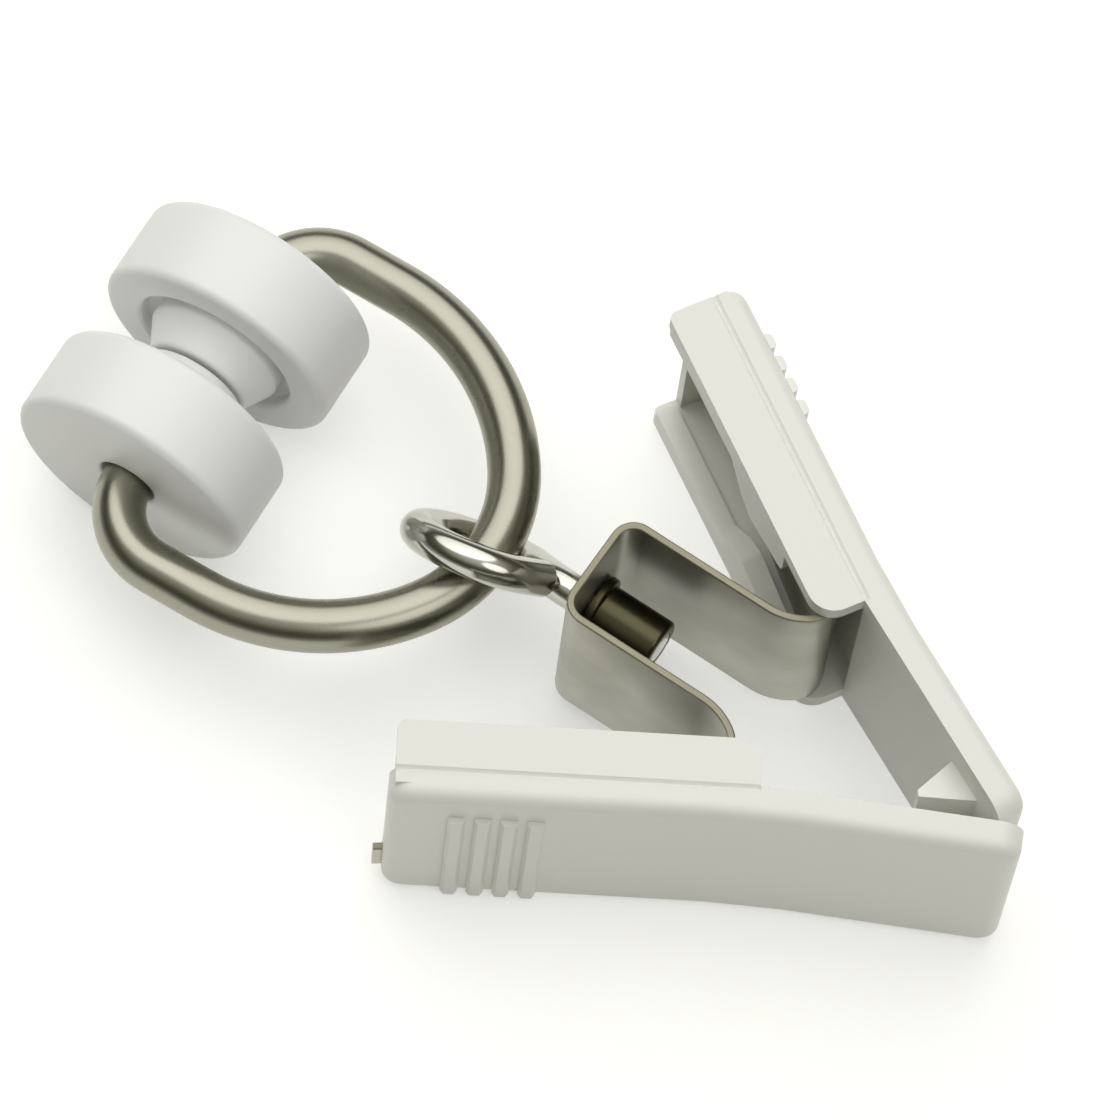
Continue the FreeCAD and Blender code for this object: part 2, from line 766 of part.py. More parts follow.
shift = Vector(-(low.x + high.x) / 2.0, -(low.y + high.y) / 2.0, -low.z)
os.makedirs("parts", exist_ok=True)
for node, shape in shapes.items():
    shape.translate(shift)
    shape.exportStep("parts/%s.step" % node)
print("shift", [round(v, 4) for v in shift], "size", [round(v, 3) for v in (high - low)])
print("axle", [round(v, 4) for v in (axle_centre + shift)])
print("tip", [round(v, 4) for v in (tip + shift)], "loop", [round(v, 4) for v in (loop_centre + shift)])
print("knees", [round(v, 4) for v in (lower_knee + shift)], [round(v, 4) for v in (upper_knee + shift)])
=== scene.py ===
"""Looks of a curtain glider: track wheels on a wire ring, a swivel eye and a sprung jaw clip.

The CAD part is the frame. Each piece here is a surface worked out with numpy or a softened copy of
a CAD node; all but the spring's two halves move with the CAD body that they belong to. Sizes are in
millimetres until a mesh is made.
"""

from __future__ import annotations

import json
import logging
import math
from dataclasses import dataclass, field
from enum import Enum

import bmesh
import bpy
import numpy as np
from mathutils import Matrix, Vector

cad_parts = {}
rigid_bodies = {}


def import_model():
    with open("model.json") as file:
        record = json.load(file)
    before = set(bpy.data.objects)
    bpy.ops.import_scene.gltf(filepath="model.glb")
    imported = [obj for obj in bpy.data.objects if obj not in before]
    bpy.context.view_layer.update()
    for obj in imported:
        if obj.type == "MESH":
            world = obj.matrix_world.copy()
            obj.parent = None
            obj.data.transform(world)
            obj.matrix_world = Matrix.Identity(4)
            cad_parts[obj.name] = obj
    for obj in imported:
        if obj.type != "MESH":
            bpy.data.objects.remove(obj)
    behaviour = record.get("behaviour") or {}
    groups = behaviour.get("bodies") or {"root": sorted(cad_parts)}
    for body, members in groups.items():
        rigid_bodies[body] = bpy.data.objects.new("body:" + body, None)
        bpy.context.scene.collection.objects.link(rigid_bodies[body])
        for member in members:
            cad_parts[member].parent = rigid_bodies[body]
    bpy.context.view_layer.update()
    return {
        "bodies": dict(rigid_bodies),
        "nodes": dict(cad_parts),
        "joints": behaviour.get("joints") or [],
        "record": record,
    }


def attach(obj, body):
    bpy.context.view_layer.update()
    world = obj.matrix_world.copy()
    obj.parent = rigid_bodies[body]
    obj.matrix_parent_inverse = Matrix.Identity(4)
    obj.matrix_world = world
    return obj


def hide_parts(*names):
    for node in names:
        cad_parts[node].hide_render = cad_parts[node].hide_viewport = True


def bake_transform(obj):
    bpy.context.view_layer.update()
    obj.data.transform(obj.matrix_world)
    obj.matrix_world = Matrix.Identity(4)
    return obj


LOG = logging.getLogger("curtain_glider")
MM = 0.001
IMAGE_SIDE = 1120.0
Array = np.ndarray
UP = np.array([0.0, 0.0, 1.0])
PULL = np.array([1.0, 0.0, 0.0])


class Level(Enum):
    """Fineness of a sampled shape, in steps."""

    CORNER = 6
    SECTION = 32
    TURN = 128


class Place(Enum):
    """The two jaw arms, by the sign of their side of the pull axis."""

    UPPER = 1
    LOWER = -1


@dataclass(frozen=True)
class Pivots:
    """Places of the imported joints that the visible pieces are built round, in millimetres."""

    plate: Array
    axle: Array
    axle_aim: Array

    @classmethod
    def of_frame(cls, joints: list[dict]) -> Pivots:
        """Picks the pivots out of the frame's joints.

        Args:
            joints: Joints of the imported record.

        Returns:
            Middle of the spring's plate, middle of the axle and the axle's direction.
        """
        found = {joint["name"]: joint for joint in joints}
        spin = found["left_wheel_spin"]
        aim = np.array(spin["axis"], float)
        return cls(
            plate=np.array(found["eye_swivel"]["pos_m"], float) / MM,
            axle=np.array(spin["pos_m"], float) / MM,
            axle_aim=aim / np.linalg.norm(aim),
        )


def linear(hex_colour: str) -> tuple[float, float, float, float]:
    """Turns an sRGB hex colour into a linear one.

    Args:
        hex_colour: Six hex digits with a leading hash.

    Returns:
        Linear red, green and blue with an alpha of one.
    """
    parts = np.array([int(hex_colour[i : i + 2], 16) for i in (1, 3, 5)]) / 255.0
    low = parts / 12.92
    high = ((parts + 0.055) / 1.055) ** 2.4
    red, green, blue = np.where(parts <= 0.04045, low, high)
    return float(red), float(green), float(blue), 1.0


def add_node(tree: bpy.types.NodeTree, kind: str, settings: dict, links: dict) -> bpy.types.Node:
    """Adds a node with its settings and links.

    Args:
        tree: Node tree that gets the node.
        kind: Blender's name of the node type.
        settings: Values by attribute name, or by input name for a socket's own value.
        links: Output sockets by the name or index of the input that they feed.

    Returns:
        The new node.
    """
    node = tree.nodes.new(kind)
    for key, value in settings.items():
        if isinstance(key, str) and hasattr(node, key):
            setattr(node, key, value)
        else:
            node.inputs[key].default_value = value
    for key, socket in links.items():
        tree.links.new(socket, node.inputs[key])
    return node


def add_noise(
    tree: bpy.types.NodeTree, size_mm: float, detail: float, where: bpy.types.NodeSocket
) -> bpy.types.NodeSocket:
    """Adds a noise pattern.

    Args:
        tree: Node tree that gets the pattern.
        size_mm: Size of one patch of the pattern.
        detail: Number of finer layers.
        where: Socket of the place that the pattern is read at, in metres.

    Returns:
        Socket of the pattern, from zero to one.
    """
    settings = {"Scale": 1.0 / (size_mm * MM), "Detail": detail}
    return add_node(tree, "ShaderNodeTexNoise", settings, {"Vector": where}).outputs["Fac"]


def new_material(name: str) -> bpy.types.Material:
    """Makes a material with an empty node tree.

    Args:
        name: Name of the material.

    Returns:
        The material.
    """
    made = bpy.data.materials.new(name)
    made.use_nodes = True
    made.node_tree.nodes.clear()
    return made


def arc_points(centre: Array, first: Array, last: Array, angle: float, count: int) -> Array:
    """Points on an arc about a centre.

    At a share t of the angle a the arm is (sin((1 - t) a) * first + sin(t a) * last) / sin a.

    Args:
        centre: Centre of the arc.
        first: Arm from the centre to the arc's start.
        last: Arm from the centre to the arc's end.
        angle: Angle between the two arms, in radians.
        count: Number of points.

    Returns:
        The points, one a row.
    """
    share = np.linspace(0, 1, count)[:, None]
    arms = np.sin((1 - share) * angle) * first + np.sin(share * angle) * last
    return centre + arms / math.sin(angle)


def rounded_outline(corners: list[tuple[float, float, float]]) -> Array:
    """Closed plane outline whose corners are rounded by tangent arcs.

    Each corner (x, y, r) is cut back by r divided by the tangent of half its inner angle and joined
    by an arc of radius r that touches both sides.

    Args:
        corners: Points with the radius of each.

    Returns:
        Points of the outline, two columns.
    """
    points = np.array([(x, y) for x, y, _ in corners], float)
    pieces = []
    for i, (_, _, radius) in enumerate(corners):
        here = points[i]
        back = points[i - 1] - here
        ahead = points[(i + 1) % len(corners)] - here
        back /= np.linalg.norm(back)
        ahead /= np.linalg.norm(ahead)
        half = math.acos(float(np.clip(back @ ahead, -1, 1))) / 2.0
        middle = back + ahead
        middle /= np.linalg.norm(middle)
        centre = here + middle * (radius / math.sin(half))
        first = here + back * (radius / math.tan(half)) - centre
        last = here + ahead * (radius / math.tan(half)) - centre
        pieces.append(arc_points(centre, first, last, math.pi - 2.0 * half, Level.CORNER.value + 1))
    return np.vstack(pieces)


def mesh_from_grid(name: str, grid: Array, wrap_path: bool = False, sharp: float = 60.0) -> bpy.types.Object:
    """Makes an object from a grid of points in millimetres.

    Rows follow the path and columns go round the section, which is always closed. An open path
    gets a flat cap at each end.

    Args:
        name: Name of the object.
        grid: Points of shape (rows, columns, 3).
        wrap_path: Whether the last row joins the first.
        sharp: Angle in degrees from which an edge is drawn sharp.

    Returns:
        The object, linked to the scene.
    """
    rows, columns = grid.shape[:2]
    index = np.arange(rows * columns).reshape(rows, columns)
    ahead = np.roll(index, -1, axis=0)
    side = np.roll(index, -1, axis=1)
    corner = np.roll(ahead, -1, axis=1)
    quads = np.stack([index, side, corner, ahead], axis=-1)
    if not wrap_path:
        quads = quads[:-1]
    faces = quads.reshape(-1, 4).tolist()
    if not wrap_path:
        faces.append(index[0][::-1].tolist())
        faces.append(index[-1].tolist())
    mesh = bpy.data.meshes.new(name)
    mesh.from_pydata((grid.reshape(-1, 3) * MM).tolist(), [], faces)
    mesh.validate()
    return finish_mesh(name, mesh, sharp)


def smooth(mesh: bpy.types.Mesh, sharp: float) -> None:
    """Shades a mesh smooth, apart from its sharp edges.

    Args:
        mesh: Mesh to shade.
        sharp: Angle in degrees from which an edge is drawn sharp.
    """
    mesh.polygons.foreach_set("use_smooth", np.ones(len(mesh.polygons), bool))
    mesh.set_sharp_from_angle(angle=math.radians(sharp))


def finish_mesh(name: str, mesh: bpy.types.Mesh, sharp: float) -> bpy.types.Object:
    """Turns the faces outwards, smooths them and links an object.

    Args:
        name: Name of the object.
        mesh: Mesh in metres with its place in it.
        sharp: Angle in degrees from which an edge is drawn sharp.

    Returns:
        The object at the origin.
    """
    from_outside(mesh)
    smooth(mesh, sharp)
    mesh.update()
    made = bpy.data.objects.new(name, mesh)
    bpy.context.scene.collection.objects.link(made)
    return made


def from_outside(mesh: bpy.types.Mesh) -> None:
    """Flips all faces of a closed mesh whose signed volume is negative.

    Args:
        mesh: Mesh whose faces all look the same way, in or out.
    """
    mesh.calc_loop_triangles()
    corners = np.empty(len(mesh.loop_triangles) * 3, np.int32)
    mesh.loop_triangles.foreach_get("vertices", corners)
    points = np.empty(len(mesh.vertices) * 3, np.float32)
    mesh.vertices.foreach_get("co", points)
    a, b, c = points.reshape(-1, 3).astype(float)[corners.reshape(-1, 3)].transpose(1, 0, 2)
    if float(np.sum(a * np.cross(b, c))) < 0:
        mesh.flip_normals()


def revolve(name: str, outline: Array, centre: Array, axis: Array, sharp: float = 60.0) -> bpy.types.Object:
    """Closed outline turned about a level axis.

    A point (r, h) of the outline goes to centre + axis * h + r * (cos t * u + sin t * v), with u and
    v square to the axis and t going once round.

    Args:
        name: Name of the object.
        outline: Points as radius and height along the axis.
        centre: Point on the axis.
        axis: Unit direction of the axis.
        sharp: Angle in degrees from which an edge is drawn sharp.

    Returns:
        The object.
    """
    u = np.cross(axis, UP)
    u /= np.linalg.norm(u)
    v = np.cross(axis, u)
    turn = np.linspace(0, 2 * math.pi, Level.TURN.value, endpoint=False)[:, None, None]
    radial = np.cos(turn) * u + np.sin(turn) * v
    grid = centre + axis * outline[None, :, 1:2] + radial * outline[None, :, 0:1]
    return mesh_from_grid(name, grid, wrap_path=True, sharp=sharp)


@dataclass
class Trace:
    """Plane path of lines and tangent arcs, sampled as it is drawn."""

    x: float
    y: float
    heading: float
    arc_step: float = 0.3
    points: list[Array] = field(default_factory=list)
    headings: list[Array] = field(default_factory=list)

    def line(self, length: float, spacing: float = 1.0) -> None:
        """Goes straight on.

        Args:
            length: How far to go.
            spacing: Distance between samples.
        """
        count = max(2, int(round(length / spacing)) + 1)
        run = np.linspace(0, length, count)
        ahead = np.array([math.cos(self.heading), math.sin(self.heading)])
        self.points.append(np.array([self.x, self.y]) + run[:, None] * ahead)
        self.headings.append(np.full(count, self.heading))
        self.x, self.y = self.points[-1][-1]

    def arc(self, radius: float, turn: float) -> None:
        """Turns on an arc.

        Args:
            radius: Radius of the arc.
            turn: Angle in radians, to the left where it is positive.
        """
        side = 1.0 if turn > 0 else -1.0
        cx = self.x - side * radius * math.sin(self.heading)
        cy = self.y + side * radius * math.cos(self.heading)
        count = max(5, int(round(radius * abs(turn) / self.arc_step)) + 1)
        along = self.heading + np.linspace(0, turn, count)
        arms = side * radius * np.stack([np.sin(along), -np.cos(along)], axis=1)
        self.points.append(np.array([cx, cy]) + arms)
        self.headings.append(along)
        self.heading += turn
        self.x, self.y = self.points[-1][-1]

    def sampled(self) -> tuple[Array, Array]:
        """Joins what was drawn.

        Returns:
            The points and the headings, with each shared joint once.
        """
        keep = [self.points[0]] + [p[1:] for p in self.points[1:]]
        aims = [self.headings[0]] + [h[1:] for h in self.headings[1:]]
        return np.vstack(keep), np.concatenate(aims)


def wire_grid(path: Array, tangents: Array, level: Array, radius: Array) -> Array:
    """Circle carried along a path.

    At each point the circle lies in the plane square to the tangent; its first direction is the
    level vector with its part along the tangent taken out.

    Args:
        path: Points of shape (n, 3).
        tangents: Unit tangents of shape (n, 3).
        level: Vector that is never along a tangent.
        radius: Radius at each point.

    Returns:
        Grid of shape (n, section, 3).
    """
    first = level - (tangents @ level)[:, None] * tangents
    first /= np.linalg.norm(first, axis=1)[:, None]
    second = np.cross(tangents, first)
    turn = np.linspace(0, 2 * math.pi, Level.SECTION.value, endpoint=False)[None, :, None]
    ring = np.cos(turn) * first[:, None, :] + np.sin(turn) * second[:, None, :]
    return path[:, None, :] + ring * radius[:, None, None]


def eased_ends(path: Array, tangents: Array, radius: float, edge: float) -> tuple[Array, Array, Array]:
    """Rounds the edge of a wire's two ends over a quarter circle.

    At an angle a from the end face the station lies edge * (1 - cos a) from the end, and the wire
    there is edge * (1 - sin a) thinner.

    Args:
        path: Points of shape (n, 3).
        tangents: Unit tangents of shape (n, 3).
        radius: Wire radius.
        edge: Radius of the rounded edge.

    Returns:
        Longer path, tangents and the radius at each point.
    """
    angle = np.linspace(0, math.pi / 2, Level.CORNER.value)
    inset = edge * (1 - np.cos(angle))
    thin = radius - edge * (1 - np.sin(angle))
    head = path[0] + tangents[0] * inset[:, None]
    tail = path[-1] - tangents[-1] * inset[::-1, None]
    stations = np.vstack([head, path[1:-1], tail])
    steps = len(angle)
    aims = np.vstack([np.tile(tangents[0], (steps, 1)), tangents[1:-1], np.tile(tangents[-1], (steps, 1))])
    radii = np.concatenate([thin, np.full(len(path) - 2, radius), thin[::-1]])
    return stations, aims, radii


@dataclass(frozen=True)
class Moulding:
    """Acetal or nylon moulding: an even pale colour and a soft, slightly wavy gloss."""

    name: str
    colour: str
    roughness: float = 0.36
    ior: float = 1.48
    ripple_mm: float = 2.2
    ripple_depth_mm: float = 0.05
    ripple_strength: float = 0.08
    grain_mm: float = 0.35
    grain_depth_mm: float = 0.02
    grain_strength: float = 0.05

    def build(self) -> bpy.types.Material:
        """Makes a moulded skin with faint sink ripple and fine grain.

        Returns:
            The material.
        """
        made = new_material(self.name)
        tree = made.node_tree
        where = add_node(tree, "ShaderNodeTexCoord", {}, {}).outputs["Object"]
        wave = add_node(
            tree,
            "ShaderNodeBump",
            {"Strength": self.ripple_strength, "Distance": self.ripple_depth_mm * MM},
            {"Height": add_noise(tree, self.ripple_mm, 1.0, where)},
        )
        skin = add_node(
            tree,
            "ShaderNodeBump",
            {"Strength": self.grain_strength, "Distance": self.grain_depth_mm * MM},
            {"Height": add_noise(tree, self.grain_mm, 2.0, where), "Normal": wave.outputs["Normal"]},
        )
        shader = add_node(
            tree,
            "ShaderNodeBsdfPrincipled",
            {"Base Color": linear(self.colour), "Roughness": self.roughness, "IOR": self.ior},
            {"Normal": skin.outputs["Normal"]},
        )
        add_node(tree, "ShaderNodeOutputMaterial", {}, {"Surface": shader.outputs["BSDF"]})
        return made


@dataclass(frozen=True)
class SteelWire:
    """Drawn and tumbled stainless wire: broad soft highlights whose sharpness drifts along it."""

    name: str
    colour: str
    roughness: float = 0.2
    glossiest: float = 0.9
    dullest: float = 1.12
    patch_mm: float = 2.5

    def build(self) -> bpy.types.Material:
        """Makes a bare metal whose gloss varies in soft patches.

        Returns:
            The material.
        """
        made = new_material(self.name)
        tree = made.node_tree
        where = add_node(tree, "ShaderNodeTexCoord", {}, {}).outputs["Object"]
        gloss = add_node(
            tree,
            "ShaderNodeMapRange",
            {"To Min": self.roughness * self.glossiest, "To Max": self.roughness * self.dullest},
            {"Value": add_noise(tree, self.patch_mm, 1.0, where)},
        )
        shader = add_node(
            tree,
            "ShaderNodeBsdfPrincipled",
            {"Base Color": linear(self.colour), "Metallic": 1.0},
            {"Roughness": gloss.outputs["Result"]},
        )
        add_node(tree, "ShaderNodeOutputMaterial", {}, {"Surface": shader.outputs["BSDF"]})
        return made


@dataclass(frozen=True)
class RolledStrip:
    """Cold-rolled spring strip: satin steel, finely lined along its length and dulled in soft patches."""

    name: str
    colour: str
    dull_colour: str
    roughness: float = 0.33
    glossiest: float = 0.85
    dullest: float = 1.2
    line_mm: float = 0.12
    line_depth_mm: float = 0.01
    line_strength: float = 0.06
    squeeze: float = 0.04
    patch_mm: float = 5.0
    dull_below: float = 0.34
    bright_above: float = 0.66

    def build(self) -> bpy.types.Material:
        """Makes a satin metal with rolling lines and patches of two near colours.

        The lines are a fine noise that is drawn out along the strip, which lies in the level plane.

        Returns:
            The material.
        """
        made = new_material(self.name)
        tree = made.node_tree
        where = add_node(tree, "ShaderNodeTexCoord", {}, {}).outputs["Object"]
        stretch = add_node(
            tree,
            "ShaderNodeMapping",
            {"Scale": (self.squeeze, self.squeeze, 1.0)},
            {"Vector": where},
        )
        lines = add_noise(tree, self.line_mm, 2.0, stretch.outputs["Vector"])
        gloss = add_node(
            tree,
            "ShaderNodeMapRange",
            {"To Min": self.roughness * self.glossiest, "To Max": self.roughness * self.dullest},
            {"Value": lines},
        )
        relief = add_node(
            tree,
            "ShaderNodeBump",
            {"Strength": self.line_strength, "Distance": self.line_depth_mm * MM},
            {"Height": lines},
        )
        patches = add_noise(tree, self.patch_mm, 2.0, where)
        tone = add_node(tree, "ShaderNodeValToRGB", {}, {"Fac": patches})
        dull, bright = tone.color_ramp.elements
        dull.position = self.dull_below
        dull.color = linear(self.dull_colour)
        bright.position = self.bright_above
        bright.color = linear(self.colour)
        shader = add_node(
            tree,
            "ShaderNodeBsdfPrincipled",
            {"Metallic": 1.0},
            {
                "Base Color": tone.outputs["Color"],
                "Roughness": gloss.outputs["Result"],
                "Normal": relief.outputs["Normal"],
            },
        )
        add_node(tree, "ShaderNodeOutputMaterial", {}, {"Surface": shader.outputs["BSDF"]})
        return made


def dress(piece: bpy.types.Object, material: bpy.types.Material, slot: str, *nodes: str) -> None:
    """Gives a piece its finish and hides the CAD nodes that it stands for.

    Args:
        piece: Piece to dress.
        material: Its finish.
        slot: Material slot of the record; not used.
        nodes: CAD nodes that the piece replaces.
    """
    piece.data.materials.clear()
    piece.data.materials.append(material)
    if nodes:
        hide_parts(*nodes)


@dataclass
class TrackRoller:
    """The wire ring with its two wheels."""

    pivots: Pivots
    wheel_radius: float = 8.0
    wheel_width: float = 5.9
    wheel_bore: float = 1.9
    wheel_edge: float = 0.6
    bore_inner_edge: float = 0.2
    bore_outer_edge: float = 0.25
    half_spacing: float = 2.2
    hub_half_gap: float = 0.15
    hub_top: float = 3.4
    hub_edge: float = 0.5
    groove_inner: float = 4.5
    groove_outer: float = 5.4
    groove_depth: float = 1.0
    groove_corner: float = 0.25
    groove_edge: float = 0.3
    wire: float = 1.675
    wire_end_edge: float = 0.3
    half_width: float = 12.05
    corner: float = 4.3
    side: float = 7.5
    reach: float = 21.45
    bow_swing_deg: float = 56.0
    seam: float = 0.2

    def build_wheel(self, name: str, side: int) -> bpy.types.Object:
        """Turns one wheel about the axle.

        Args:
            name: Name of the piece.
            side: Sign of its side of the axle's middle.

        Returns:
            The wheel.
        """
        inner = self.half_spacing
        outer = inner + self.wheel_width
        floor = inner + self.groove_depth
        outline = rounded_outline(
            [
                (self.wheel_bore, self.hub_half_gap, self.bore_inner_edge),
                (self.hub_top, self.hub_half_gap, self.hub_edge),
                (self.groove_inner, inner, self.hub_edge),
                (self.groove_inner, floor, self.groove_corner),
                (self.groove_outer, floor, self.groove_corner),
                (self.groove_outer, inner, self.groove_edge),
                (self.wheel_radius, inner, self.wheel_edge),
                (self.wheel_radius, outer, self.wheel_edge),
                (self.wheel_bore, outer, self.bore_outer_edge),
            ]
        )
        return revolve(name, outline, self.pivots.axle, self.pivots.axle_aim * side)

    def build_ring(self, name: str) -> bpy.types.Object:
        """Sweeps the ring wire: axle, bends, sides and a bow of three tangent arcs.

        Two shoulder arcs of radius R turn by the swing s each and meet a tip arc of radius R - e.
        The reach past the sides is then half_width + e * (sin s + cos s - 1), which gives e.

        Args:
            name: Name of the piece.

        Returns:
            The ring, open by the seam in the middle of the axle.
        """
        swing = math.radians(self.bow_swing_deg)
        ease = (self.reach - self.side - self.half_width) / (math.sin(swing) + math.cos(swing) - 1)
        shoulder = self.half_width + ease * math.cos(swing)
        leg = self.half_width - self.corner - self.seam / 2
        path = Trace(0.0, self.seam / 2, math.pi / 2)
        path.line(leg)
        path.arc(self.corner, -math.pi / 2)
        path.line(self.side - self.corner)
        path.arc(shoulder, -swing)
        path.arc(shoulder - ease, 2 * swing - math.pi)
        path.arc(shoulder, -swing)
        path.line(self.side - self.corner)
        path.arc(self.corner, -math.pi / 2)
        path.line(leg)
        flat, aims = path.sampled()
        axle = self.pivots.axle_aim
        pull = np.cross(axle, UP)
        points = self.pivots.axle + flat[:, :1] * pull + flat[:, 1:] * axle
        tangents = np.cos(aims)[:, None] * pull + np.sin(aims)[:, None] * axle
        stations, turned, radii = eased_ends(points, tangents, self.wire, self.wire_end_edge)
        return mesh_from_grid(name, wire_grid(stations, turned, UP, radii))


@dataclass
class SwivelEye:
    """The bent wire eye and the sleeve on its shank."""

    pivots: Pivots
    wire: float = 1.15
    wire_end_edge: float = 0.18
    radius: float = 4.1
    spread_deg: float = 56.0
    neck: float = 2.55
    bend: float = 2.2
    tilt_deg: float = 59.0
    lean_deg: float = 12.0
    gap: float = 0.12
    longest_end: float = 0.9
    shank_steps: int = 12
    bend_steps: int = 25
    run_steps: int = 8
    loop_steps: int = 97
    plate_half: float = 0.25
    plate_play: float = 0.12
    sleeve_radius: float = 1.8
    sleeve_length: float = 4.9
    sleeve_edge: float = 0.3
    bore_edge: float = 0.05
    flange_radius: float = 2.2
    flange_thickness: float = 0.6
    flange_front_edge: float = 0.12
    flange_back_edge: float = 0.2
    flange_root: float = 0.1

    def build_eye(self, name: str) -> bpy.types.Object:
        """Sweeps the eye wire: shank, neck bend, round loop and the butted free end.

        The loop touches two lines that leave the corner of the neck at the spread s to either side,
        so its centre lies radius / sin s from that corner.

        Args:
            name: Name of the piece.

        Returns:
            The eye.
        """
        spread, lean, tilt = (math.radians(a) for a in (self.spread_deg, self.lean_deg, self.tilt_deg))
        ahead = np.array([-math.cos(lean), -math.sin(lean), 0.0])
        level = np.array([math.sin(lean), -math.cos(lean), 0.0])
        across = level * math.cos(tilt) + UP * math.sin(tilt)
        corner = self.pivots.plate - PULL * self.neck
        centre = corner + ahead * (self.radius / math.sin(spread))
        leave = ahead * math.cos(spread) - across * math.sin(spread)
        home = ahead * math.cos(spread) + across * math.sin(spread)

        # Neck bend, an arc that touches the shank and the line to the loop
        opening = math.acos(float(PULL @ leave))
        run = self.bend / math.tan(opening / 2)
        half = PULL + leave
        half /= np.linalg.norm(half)
        hub = corner + half * (self.bend / math.sin(opening / 2))
        first = corner + PULL * run - hub
        last = corner + leave * run - hub
        bend = arc_points(hub, first, last, math.pi - opening, self.bend_steps)

        # Round loop
        half_turn = math.pi / 2 + spread
        turn = np.linspace(-half_turn, half_turn, self.loop_steps)[:, None]
        loop = centre + self.radius * (np.cos(turn) * ahead + np.sin(turn) * across)

        # Free end, which stops a gap short of the neck bend
        keep = self.bend + self.wire + self.gap
        lag = corner - hub
        free = -home @ lag + math.sqrt((home @ lag) ** 2 - lag @ lag + keep * keep)
        reach = self.radius / math.tan(spread)
        end = corner + home * min(free, self.longest_end * reach)

        # Whole path, from the sleeve's far end round to the free end
        start = self.pivots.plate + PULL * (self.plate_half + self.plate_play + self.sleeve_length)
        shank = bend[0] + (start - bend[0]) * np.linspace(1, 0, self.shank_steps)[:-1, None]
        share = np.linspace(0, 1, self.run_steps)[1:, None]
        out = bend[-1] + (loop[0] - bend[-1]) * share[:-1]
        back = loop[-1] + (end - loop[-1]) * share
        path = np.vstack([shank, bend, out, loop, back])
        tangents = np.gradient(path, axis=0)
        tangents /= np.linalg.norm(tangents, axis=1)[:, None]
        stations, aims, radii = eased_ends(path, tangents, self.wire, self.wire_end_edge)
        return mesh_from_grid(name, wire_grid(stations, aims, np.cross(ahead, across), radii))

    def build_sleeve(self, name: str) -> bpy.types.Object:
        """Turns the flanged sleeve about the pull axis.

        Args:
            name: Name of the piece.

        Returns:
            The sleeve.
        """
        start = self.plate_half + self.plate_play
        end = start + self.sleeve_length
        step = start + self.flange_thickness
        outline = rounded_outline(
            [
                (self.wire, start, self.bore_edge),
                (self.flange_radius, start, self.flange_front_edge),
                (self.flange_radius, step, self.flange_back_edge),
                (self.sleeve_radius, step, self.flange_root),
                (self.sleeve_radius, end, self.sleeve_edge),
                (self.wire, end, self.bore_edge),
            ]
        )
        return revolve(name, outline, self.pivots.plate, PULL, sharp=50.0)


